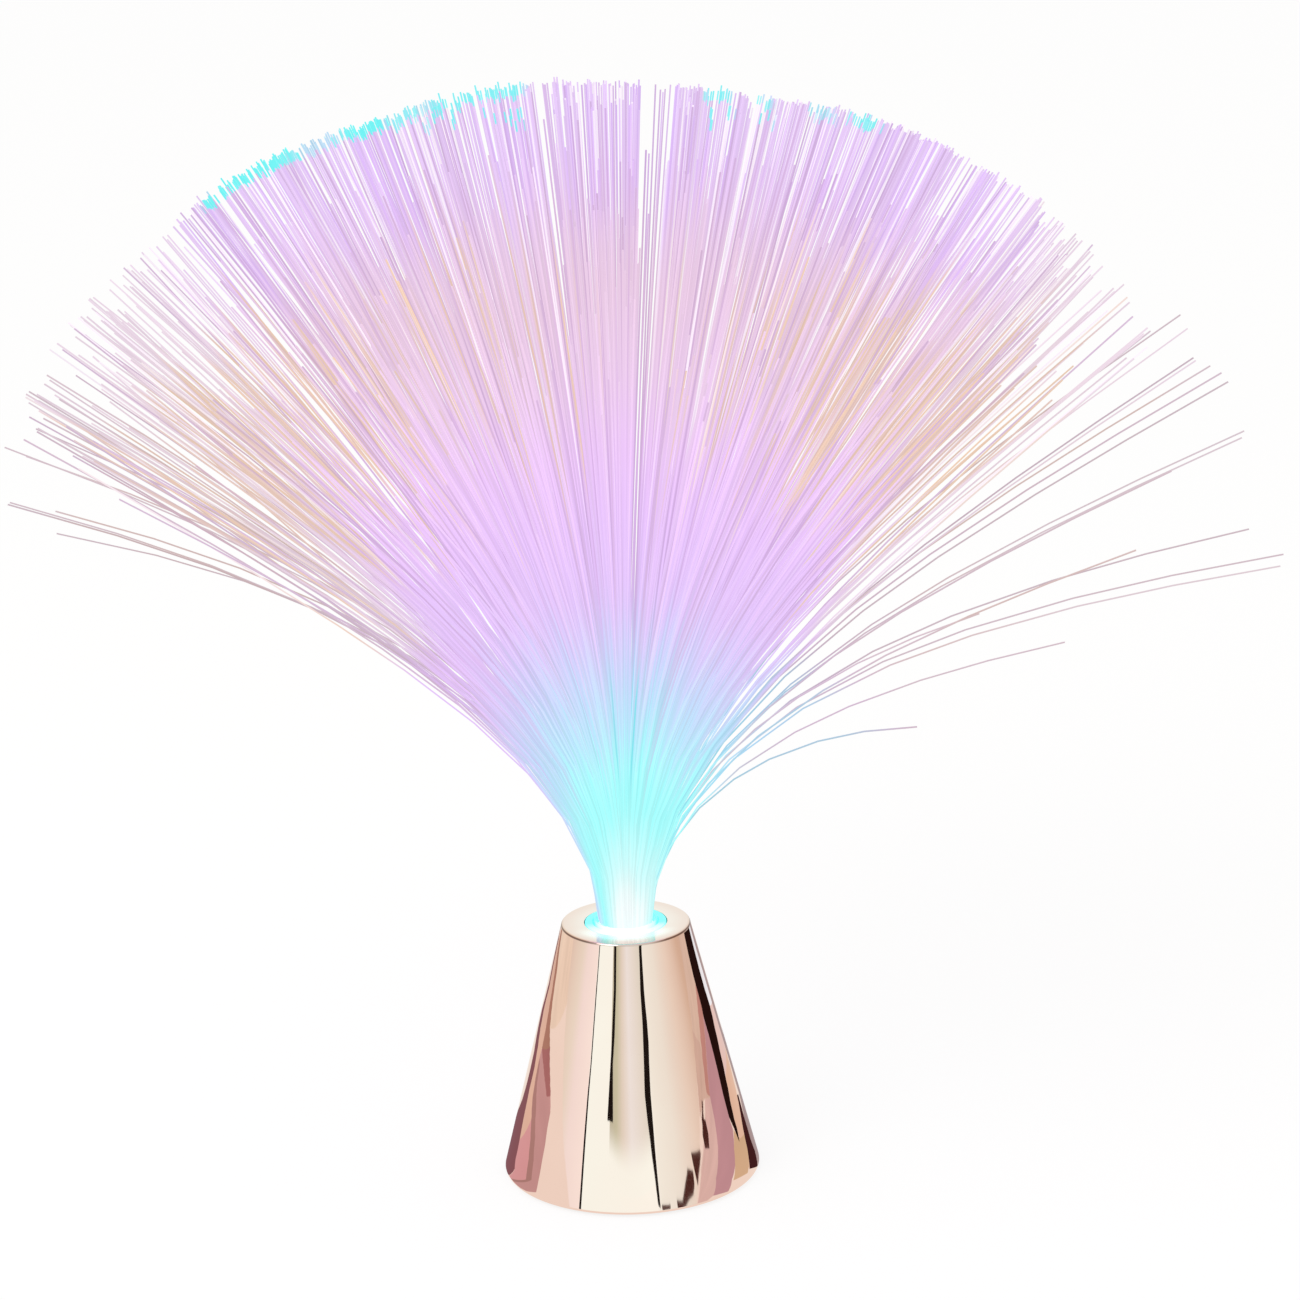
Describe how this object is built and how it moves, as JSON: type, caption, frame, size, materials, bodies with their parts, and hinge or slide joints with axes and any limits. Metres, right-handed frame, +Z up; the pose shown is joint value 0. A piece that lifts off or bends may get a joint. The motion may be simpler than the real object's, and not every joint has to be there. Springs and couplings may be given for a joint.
{
  "type": "fiber optic lamp",
  "caption": "Small battery lamp: a conical rose-gold base with a glowing clear ring holds a wide spray of lit optical fibres that lifts out and turns.",
  "frame": {"origin": "centre of the base at the foot pads' undersides, on the table", "axes": "+X across the spray's widest spread, to the right as pictured; +Y away from the viewer; +Z up"},
  "size_m": [0.3754, 0.2796, 0.3151],
  "materials": {
    "rose_chrome": "rose-gold mirror plating on plastic",
    "clear_plastic": "clear, lit from below",
    "fibre": "clear optical fibre, glowing violet to cyan",
    "sleeve": "milky sleeve, lit from inside",
    "white_plastic": "satin",
    "black_plastic": "satin",
    "plate_plastic": "fine moulded texture",
    "red_plastic": "wire insulation",
    "steel": "zinc plated",
    "cell_jacket": "printed foil jacket, bare of marks",
    "board_green": "solder mask",
    "rubber": "matt",
    "lens_red": "tinted lens",
    "lens_green": "tinted lens",
    "lens_blue": "tinted lens"
  },
  "bodies": {
    "base": {"base_plate": "plate_plastic", "base_screw_1": "steel", "base_screw_2": "steel", "base_screw_3": "steel", "base_screw_4": "steel", "base_shell": "rose_chrome", "battery_1": "cell_jacket", "battery_2": "cell_jacket", "battery_3": "cell_jacket", "board_cap": "white_plastic", "contact_link_a": "steel", "contact_link_b": "steel", "contact_negative": "steel", "contact_positive": "steel", "driver_chip": "black_plastic", "foot_pad_1": "rubber", "foot_pad_2": "rubber", "foot_pad_3": "rubber", "foot_pad_4": "rubber", "holder_screw_1": "steel", "holder_screw_2": "steel", "lamp_holder": "white_plastic", "led_blue": "lens_blue", "led_board": "board_green", "led_green": "lens_green", "led_red": "lens_red", "resistor_1": "black_plastic", "resistor_2": "black_plastic", "switch_body": "black_plastic", "switch_terminal_in": "steel", "switch_terminal_out": "steel", "wire_black": "black_plastic", "wire_red": "red_plastic", "wire_white": "white_plastic"},
    "collar": {"light_collar": "clear_plastic"},
    "spray": {"ferrule": "sleeve", "fibre_core": "fibre", "fibre_spray": "fibre"},
    "switch": {"switch_knob": "white_plastic"},
    "door": {"battery_door": "plate_plastic", "door_screw": "steel"}
  },
  "joints": [
    {"name": "spray_turn", "type": "hinge", "parent": "base", "child": "collar", "pos_m": [0, 0, 0.076], "axis": [0, 0, 1], "continuous": true},
    {"name": "spray_lift", "type": "slide", "parent": "collar", "child": "spray", "axis": [0, 0, 1], "range_m": [0, 0.02]},
    {"name": "switch_slide", "type": "slide", "parent": "base", "child": "switch", "axis": [1, 0, 0], "range_m": [-0.0032, 0]},
    {"name": "door_swing", "type": "hinge", "parent": "base", "child": "door", "pos_m": [-0.0252, 0, 0.0018], "axis": [0, 1, 0], "range_deg": [0, 75]}
  ]
}
